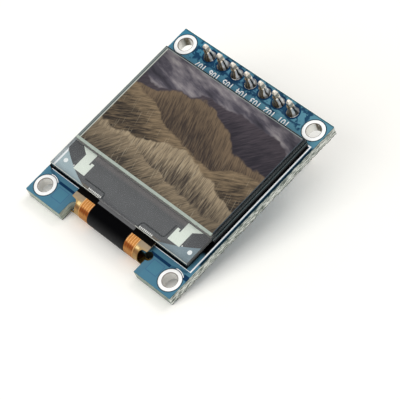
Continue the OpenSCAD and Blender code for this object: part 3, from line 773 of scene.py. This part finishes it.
near_edge, left_edge = 1 - y.above(glass_low.y + 0.09, 0.02), 1 - x.above(glass_low.x + 0.09, 0.02)
haze = place.grain(0.7, 3)
scuff = place.stretched(1, 1, 8).grain(3, 3)
# The glass's edges are painted with light and shade: dark walls, a black near wall, a pale highlight on
# the near chamfer and down the left edge, and greyer walls by the ledge and over the cover band.
edge_light_and_shade = scuff.mix("20282a", "343d3f")
edge_light_and_shade = ground.mix(edge_light_and_shade, scuff.mix("1f2628", "333b3d"))
edge_light_and_shade = (1 - y.above(-6.4, 0.1)).mix(edge_light_and_shade, scuff.mix("3f3f3e", "525150"))
edge_light_and_shade = left_edge.mix(edge_light_and_shade, scuff.mix("b9c6c9", "e6ecee"))
near_light_and_shade = ground.mix(scuff.mix("050505", "131110"), scuff.mix("b9bfb4", "f2efe4"))
middle_light_and_shade = ground.mix(scuff.mix("929293", "9e9e9f"), scuff.mix("585859", "5f5f60"))
near_light_and_shade = abs(x).above(over_cover, 0.1).mix(middle_light_and_shade, near_light_and_shade)
edge_light_and_shade = near_edge.mix(edge_light_and_shade, near_light_and_shade)
feed(
    Base_Color=level.mix(edge_light_and_shade, haze.mix("b4bec3", "c6ced2")),
    Alpha=0.95 - level * 0.91 + (haze - 0.5) * 0.04,
    Normal=(scuff * (1 - level)).bump(0.01, 0.4),
)
piece("clear_front_glass", clear_glass, verts, faces, ["front_glass"], sharp=20)


# Polariser: a thin glossy film laid over the lit area, with a pale margin on the ledge's side. The
# lit picture behind it is fields of colour only: dry dunes and grass under an evening sky.
sheet_low, sheet_high = (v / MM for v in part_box("polariser"))
lit_x, lit_left = sheet_high.x - 0.04, sheet_high.x - 0.6
lit_near, lit_far = sheet_low.y + 0.38, sheet_high.y - 0.13
picture_film, place, feed = coating(
    "polariser over a lit picture", IOR=1.5, Specular_IOR_Level=0.15, Emission_Strength=1.0
)
x, y, z = place.axes()
level = facing(place)[2].above(0.9, 0.1)
lit = x.between(-lit_left, lit_x, 0.05) * y.between(lit_near, lit_far, 0.05) * level
across, along = x / lit_x, (y - (lit_near + lit_far) / 2) / ((lit_far - lit_near) / 2)
drift = place.grain(0.22, 3)
evening = place.stretched(0.12, 0.4, 1, 0.2).grain(1.4, 4, 0.6)
picture = evening.ramp((0.32, "2c2a32"), (0.47, "4d4952"), (0.6, "7f797d"), (0.72, "a8a29f"))
# Each dune: height and swing of its crest, waves across, phase, shade and lit colours, grain turn.
dunes = [
    (0.62, 0.16, 2.1, 0.4, "221f27", "4a4248", 0.5),
    (0.36, 0.2, 2.9, 2.2, "332a25", "78654f", -0.6),
    (0.02, 0.22, 2.4, 4.0, "211c19", "8b775c", 0.9),
    (-0.4, 0.18, 3.3, 1.1, "332c28", "a8967a", -0.35),
    (-0.74, 0.14, 2.7, 3.0, "2c2824", "94836a", 0.4),
]
for crest, swing, waves, phase, shade, light, turn in dunes:
    ridge = (across * waves + phase).math("SINE") * swing + crest + (drift - 0.5) * 0.5
    below = ridge - along
    strands = place.stretched(5.5, 0.55, 1, turn + 0.2).grain(1.0, 4, 0.65)
    slope = 1 - below.above(0.22, 0.5)
    tone = (strands * 1.5 - 0.45 + slope * 0.35).above(0.5, 0.9)
    picture = below.above(0.0, 0.05).mix(picture, tone.mix(shade, light))
blades = place.stretched(6.5, 0.32, 1, -0.3).grain(1.0, 2, 0.5).above(0.66, 0.05)
picture = (blades * (1 - along.above(-0.1, 0.7)) * 0.25).mix(picture, "d3c6ab")
dusk = 1 - (across * across + along * along).above(1.25, 1.3) * 0.35
picture = dusk.mix("141216", picture)
rim_grain = place.grain(2, 3)
near_rim = 1 - y.above(lit_near + 0.02, 0.04)
left_line = x.between(-lit_left - 0.15, -lit_left + 0.02, 0.05)
left_groove = x.between(-lit_left - 0.29, -lit_left - 0.15, 0.05)
rim_colour = left_groove.mix(rim_grain.mix("687170", "808a88"), rim_grain.mix("424a49", "555d5b"))
rim_colour = left_line.mix(rim_colour, rim_grain.mix("b3b8af", "c6cac0"))
rim_colour = y.above(lit_far - 0.02, 0.04).mix(rim_colour, rim_grain.mix("7a8280", "8d9492"))
rim_colour = x.above(lit_x - 0.02, 0.03).mix(rim_colour, rim_grain.mix("47515a", "59646c"))
rim_colour = near_rim.mix(rim_colour, rim_grain.mix("98a39a", "b9c3b8"))
feed(
    Base_Color=lit.mix(rim_colour, "060607"),
    Emission_Color=lit.mix("000000", picture),
    Roughness=0.12 + rim_grain * 0.06,
    Normal=rim_grain.bump(0.004, 0.3),
)
dress("polariser", picture_film, 0.05)


# Film tail: an amber polyimide film bonded under the ledge and folded with a slack loop round the
# notch's edge to its joints on the rear. Copper tracks lie either side of a black cover band.
film_low, film_high = (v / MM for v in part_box("flex_film"))
film_t, root_half = 0.08, film_high.x
waist_half, waist_l, waist_r, waist_turn = 5.95, 2.3, 0.6, math.radians(147)
bend_r = (film_high.z - film_low.z) / 2 - film_t
bend_y, bend_z = film_low.y + bend_r + film_t, (film_low.z + film_high.z) / 2
rear_z, lift_r, tail_end, root_end, panel_near = -0.12, 2.0, -8.4, -8.9, glass_low.y
lift = math.acos((bend_z - rear_z + lift_r) / (bend_r + lift_r))
lift_y, lift_z = bend_y + (bend_r + lift_r) * math.sin(lift), rear_z - lift_r
run_steps, loop_steps, lift_steps = 16, 90, 16


def tail_path(inset, t, top_end):
    """A layer's section as pairs of inner and outer points, from under the ledge to the rear."""
    faces_r, pairs = (bend_r + inset, bend_r + inset + t), []
    for i in range(run_steps):
        y = top_end + (bend_y - top_end) * i / run_steps
        pairs.append([(y, bend_z + r) for r in faces_r])
    for i in range(loop_steps + 1):
        a = math.radians(90) + (math.pi + lift) * i / loop_steps
        pairs.append([(bend_y + r * math.cos(a), bend_z + r * math.sin(a)) for r in faces_r])
    for i in range(1, lift_steps + 1):
        a = math.radians(90) + lift * (1 - i / lift_steps)
        reach = [lift_r + bend_r - r for r in faces_r]
        pairs.append([(lift_y + r * math.cos(a), lift_z + r * math.sin(a)) for r in reach])
    pairs.append([(tail_end, rear_z - inset), (tail_end, rear_z - inset - t)])
    return pairs


def film_half(y, z):
    """Half the film's width at a point of its section, less where the waist is cut out."""
    c, s = math.cos(waist_turn), math.sin(waist_turn)
    out, along = (y - bend_y) * c + (z - bend_z) * s, abs((z - bend_z) * c - (y - bend_y) * s)
    if out <= 0 or along >= waist_l / 2:
        return root_half
    round_off = max(0.0, along - waist_l / 2 + waist_r)
    return waist_half + waist_r - math.sqrt(waist_r ** 2 - round_off ** 2)


def fold_turn(y, z):
    """How far round the loop a point of the surface is, in degrees from the top."""
    return (bend_y - y).math("ARCTAN2", z - bend_z) * math.degrees(1)


def strip(pairs, spans, verts, faces):
    """Adds one layer of the tail, from its section and its two sides along it, to a mesh."""
    first = len(verts)
    for ((yi, zi), (yo, zo)), ((a0, a1), (b0, b1)) in zip(pairs, spans):
        verts += [(a0, yi, zi), (a1, yi, zi), (b1, yo, zo), (b0, yo, zo)]
    for k in range(len(pairs) - 1):
        a, b = first + 4 * k, first + 4 * (k + 1)
        faces += [[a + i, a + (i + 1) % 4, b + (i + 1) % 4, b + i] for i in range(4)]
    last = first + 4 * (len(pairs) - 1)
    faces += [[first + 3, first + 2, first + 1, first], [last, last + 1, last + 2, last + 3]]


verts, faces = [], []
pairs = tail_path(0.0, film_t, root_end)
spans = [[(-film_half(*point), film_half(*point)) for point in pair] for pair in pairs]
strip(pairs, spans, verts, faces)
amber, place, feed = coating("amber film", IOR=1.6, Coat_Roughness=0.08, Specular_IOR_Level=0.3)
x, y, z = place.axes()
body = place.grain(1.3, 4)
wrinkle = place.stretched(0.9, 2.4, 2.4).grain(1.1, 4)
# Round the loop the film's colour is painted reflection: tan on the flat top, gold past it with a
# painted glint, a dark band, then lighter amber lower down.
fold = fold_turn(y, z) + (wrinkle - 0.5) * 14
glint = fold.between(14, 27, 8) * abs(x).between(5.25, 5.8, 0.15)
film_colour = fold.above(12, 26).mix(wrinkle.mix("85745a", "b39d80"), wrinkle.mix("a8823f", "c9a563"))
film_colour = (glint * 0.9).mix(film_colour, "ffdf9a")
film_colour = fold.above(31, 14).mix(film_colour, wrinkle.mix("5a3604", "8f5e10"))
film_colour = fold.above(56, 22).mix(film_colour, wrinkle.mix("8a672b", "bd944e"))
film_colour = abs(x).between(3.42, 5.18, 0.03).mix(film_colour, "7a4710")
under_ledge = y.above(panel_near - 0.03, 0.03) * z.above(1.5, 0.4)
film_colour = under_ledge.mix(film_colour, wrinkle.mix("535354", "5c5c5d"))
feed(
    Base_Color=film_colour,
    Roughness=0.22 + body * 0.15,
    Coat_Weight=0.2 + body * 0.1,
    Normal=wrinkle.bump(0.04, 0.5),
)
piece("tail_film", amber, verts, faces, ["flex_film"])

cover_half, cover_t = 3.4, 0.05
track_count, track_pitch, track_w, track_t, track_start = 9, 0.19, 0.13, 0.03, 3.5
pairs = tail_path(film_t, track_t, panel_near)
for side, name, slot_name in ((-1, "left", "copper_left"), (1, "right", "copper_right")):
    verts, faces = [], []
    for i in range(track_count):
        near = track_start + i * track_pitch
        edges = tuple(sorted((side * near, side * (near + track_w))))
        strip(pairs, [(edges, edges)] * len(pairs), verts, faces)
    copper, place, feed = coating(f"{name} copper", Metallic=0.7, IOR=1.5)
    x, y, z = place.axes()
    rolled = place.stretched(5, 0.8, 0.8).grain(1.6, 4, 0.6)
    fold = fold_turn(y, z) + (rolled - 0.5) * 12
    paired = ((abs(x) - track_start) / (2 * track_pitch) * math.tau).math("SINE").above(0.0, 1.0)
    outer = abs(x).above(track_start + track_pitch * (track_count - 1) - 0.03, 0.04)
    # Round the loop the copper is painted reflection: bright on top, then a shaded band, then lighter
    # lower down.
    copper_colour = paired.mix(rolled.mix("c27a2e", "dc9648"), rolled.mix("d8924a", "f4be80"))
    shaded = paired.mix(rolled.mix("743400", "8a4200"), rolled.mix("863f00", "9e5000"))
    copper_colour = fold.above(27, 12).mix(copper_colour, shaded)
    copper_colour = fold.above(52, 20).mix(copper_colour, rolled.mix("bb7a32", "dca260"))
    copper_colour = (outer * 0.5).mix(copper_colour, "e8b878")
    feed(Base_Color=copper_colour, Roughness=0.3 + rolled * 0.2, Normal=rolled.bump(0.012, 0.6))
    piece(f"{name}_tracks", copper, verts, faces, [f"{name}_copper_tracks"])

verts, faces = [], []
pairs = tail_path(film_t, cover_t, panel_near)
strip(pairs, [((-cover_half, cover_half),) * 2] * len(pairs), verts, faces)
cover, place, feed = coating("black cover film", IOR=1.5, Specular_IOR_Level=0.02)
x, y, z = place.axes()
body = place.grain(1.6, 4)
lip = y.above(-11.33, 0.05) * z.above(1.5, 0.4)
# Round the middle of the loop the black cover is painted grey as a sheen.
painted_sheen = fold_turn(y, z).between(48, 140, 60)
cover_colour = painted_sheen.mix(body.mix("000000", "020204"), body.mix("252526", "323233"))
feed(
    Base_Color=lip.mix(cover_colour, body.mix("6b6b6c", "737374")),
    Roughness=0.3 + body * 0.16,
    Normal=body.bump(0.02, 0.4),
)
piece("tail_cover", cover, verts, faces, ["flex_cover_band"])

# A bead of black sealant covers the film's root on both sides of the cover band.
bead_end, bead_low, bead_high = -11.68, film_high.z - 0.005, film_high.z + 0.045
verts, faces = [], []
for side in (-1, 1):
    inner, outer = sorted((side * (cover_half + 0.02), side * (root_half - 0.02)))
    bar(inner, bead_end, outer, panel_near + 0.05, bead_low, bead_high, verts, faces)
sealant_look = (2.4, 4), ("020202", "0a0706"), (0.5, 0.2), (0.01, 0.5)
sealant = plain("black sealant", *sealant_look, IOR=1.45, Specular_IOR_Level=0.03)
piece("root_bead", sealant, verts, faces)

silicon_look = (3, 3), ("33373d", "4d535b"), (0.15, 0.15), (0.006, 0.4)
dress("driver_chip", plain("bare silicon", *silicon_look, IOR=3.0), 0.03)
joint_look = (5, 4), ("a8a49c", "eae8e3"), (0.18, 0.25), (0.03, 0.7)
dress("flex_solder_joints", plain("tail solder", *joint_look, Metallic=1.0, IOR=1.5), 0.04)


# Studio: the module lies on its two ears and its pin ends, so the pale floor slopes under it. A
# long soft lamp hangs over it, one stands low behind and one in front, and a bright room fills in.
view_turn, view_rise, view_roll = (math.radians(v) for v in (66.061, 55.611, -25.774))
view_far, view_right, view_up = 256.776, 2.831, -5.378
level_right = Vector((math.cos(view_turn), math.sin(view_turn), 0))
back = Vector((level_right.y, -level_right.x, 0)) * math.cos(view_rise)
back += Vector((0, 0, math.sin(view_rise)))
level_up = back.cross(level_right)
right = level_right * math.cos(view_roll) + level_up * math.sin(view_roll)
up = level_up * math.cos(view_roll) - level_right * math.sin(view_roll)
lens = bpy.data.cameras.new("camera")
lens.lens, lens.sensor_width = 180, 36
lens.clip_start, lens.clip_end = 0.01, 10
camera = bpy.data.objects.new("camera", lens)
camera.location = (right * view_right + up * view_up + back * view_far + Vector((0, 0, board_t))) * MM
camera.rotation_mode = "QUATERNION"
camera.rotation_quaternion = Matrix((right, up, back)).transposed().to_quaternion()
bpy.context.scene.collection.objects.link(camera)
bpy.context.scene.camera = camera

rest_near, rest_far = Vector((0, -board_y, 0)), Vector((0, pin_y, pins_low.z))
slope = (rest_far - rest_near).normalized()
floor_half, floor_sink = 400, 0.02
middle = (rest_near + rest_far) / 2 - Vector((1, 0, 0)).cross(slope) * floor_sink
corners = []
for sx, sy in ((-1, -1), (1, -1), (1, 1), (-1, 1)):
    corners.append((middle + Vector((sx * floor_half, 0, 0)) + slope * (sy * floor_half)) * MM)
mesh = bpy.data.meshes.new("floor")
mesh.from_pydata(corners, [], [[0, 1, 2, 3]])
floor = bpy.data.objects.new("floor", mesh)
bpy.context.scene.collection.objects.link(floor)
floor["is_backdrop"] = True
paper, place, feed = coating("white paper", Roughness=0.9, Specular_IOR_Level=0.2)
feed(Base_Color=place.grain(0.05, 2).mix("f8f7f2", "fbfaf6"))
tree = paper.node_tree
shader = Wire(tree.nodes["Principled BSDF"].outputs[0])
glow = 0.14
lift_glow = place.node("Emission", None, {"Color": hue("fffaf2"), "Strength": glow})
lifted = place.node("AddShader", None, {0: shader, 1: lift_glow})
shown = place.node("MixShader", None, {0: place.node("LightPath"), 1: shader, 2: lifted})
under = place.node("NewGeometry", None, None, out=6)
both = place.node("MixShader", None, {0: under, 1: shown, 2: place.node("BsdfTransparent")})
tree.links.new(both.socket, tree.nodes["Material Output"].inputs["Surface"])
floor.data.materials.append(paper)

lamp_far = 500
lamps = [
    ("key", (0, 0.3, 0.95), 360, 900, 0.95),
    ("rear", (-0.05, 0.9, 0.43), 250, 250, 0.6),
    ("front", (0, -0.6, 0.8), 360, 360, 0.95),
]
for name, towards, lamp_w, lamp_l, power in lamps:
    light = bpy.data.lights.new(name, "AREA")
    light.shape, light.size, light.size_y, light.energy = "RECTANGLE", lamp_w * MM, lamp_l * MM, power
    lamp = bpy.data.objects.new(name, light)
    lamp.location = Vector(towards).normalized() * lamp_far * MM
    lamp.rotation_mode = "QUATERNION"
    lamp.rotation_quaternion = Vector(towards).to_track_quat("Z", "Y")
    bpy.context.scene.collection.objects.link(lamp)

room = bpy.data.worlds.new("room")
room.use_nodes = True
bpy.context.scene.world = room
tree = room.node_tree
background = tree.nodes["Background"]
seen = Wire(tree.nodes.new("ShaderNodeLightPath").outputs["Is Camera Ray"])
paths = seen.socket.node.outputs
direct = seen.either(Wire(paths["Is Glossy Ray"])).either(Wire(paths["Is Transmission Ray"]))
room_fill = 0.4
background.inputs["Color"].default_value = hue("ffffff")
tree.links.new((direct * (1 - room_fill) + room_fill).socket, background.inputs["Strength"])
bpy.context.scene.view_settings.view_transform = "Standard"

low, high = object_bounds()
